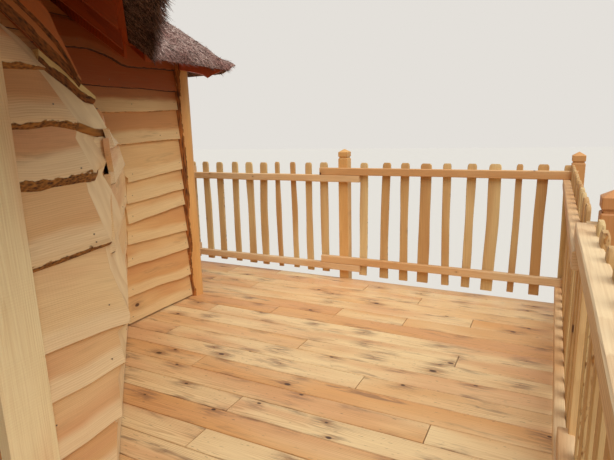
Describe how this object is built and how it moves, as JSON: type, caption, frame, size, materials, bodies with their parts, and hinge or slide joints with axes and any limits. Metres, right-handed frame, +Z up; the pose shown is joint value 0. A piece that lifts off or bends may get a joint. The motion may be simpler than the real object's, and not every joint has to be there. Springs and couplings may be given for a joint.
{
  "type": "tree house",
  "caption": "Thatched timber cabin with live-edge cladding and a pointed porch roof, on a railed deck raised on braced log legs.",
  "frame": {"origin": "middle of the whole part's footprint, on the ground under its legs", "axes": "+Z up; +X from the cabin's back to the long railing before its entrance; +Y along that railing to the far railing"},
  "size_m": [5.788, 6.444, 6.2557],
  "materials": {
    "peeled_log": "peeled and oiled",
    "sawn_frame_timber": "rough sawn",
    "deck_boards": "oiled, planed",
    "rail_timber": "rough sawn, oiled",
    "live_edge_cladding": "rough sawn with bark edges",
    "sawn_plank": "rough sawn",
    "lining_boards": "planed",
    "heather_thatch": "dry brush"
  },
  "bodies": {
    "root": {"legs_far": "peeled_log", "legs_middle": "peeled_log", "legs_near": "peeled_log", "bearers": "sawn_frame_timber", "joists": "sawn_frame_timber", "deck": "deck_boards", "posts_far": "rail_timber", "posts_right": "rail_timber", "posts_near": "rail_timber", "railing_far_1": "rail_timber", "railing_far_2": "rail_timber", "railing_far_3": "rail_timber", "railing_right_1": "rail_timber", "railing_right_2": "rail_timber", "railing_right_3": "rail_timber", "railing_near": "rail_timber", "railing_back": "rail_timber", "floor": "deck_boards", "corner_logs": "peeled_log", "front_wall_far": "live_edge_cladding", "front_wall_near": "live_edge_cladding", "front_wall_upper": "live_edge_cladding", "side_wall_far": "live_edge_cladding", "side_wall_near": "live_edge_cladding", "back_wall": "live_edge_cladding", "porch_wall_far": "live_edge_cladding", "porch_wall_near": "live_edge_cladding", "entrance_wall_far": "live_edge_cladding", "entrance_wall_near": "live_edge_cladding", "entrance_wall_head": "live_edge_cladding", "door_frame": "sawn_plank", "rake_boards": "sawn_plank", "porch_roof_far": "lining_boards", "porch_roof_near": "lining_boards", "rafters": "sawn_frame_timber", "hip_boards": "sawn_frame_timber", "roof_boards": "lining_boards", "thatch_front_far": "heather_thatch", "thatch_front_near": "heather_thatch", "thatch_porch_far": "heather_thatch", "thatch_porch_near": "heather_thatch", "thatch_side_far": "heather_thatch", "thatch_side_near": "heather_thatch", "thatch_back": "heather_thatch", "ridge_roll": "heather_thatch"}
  },
  "joints": []
}
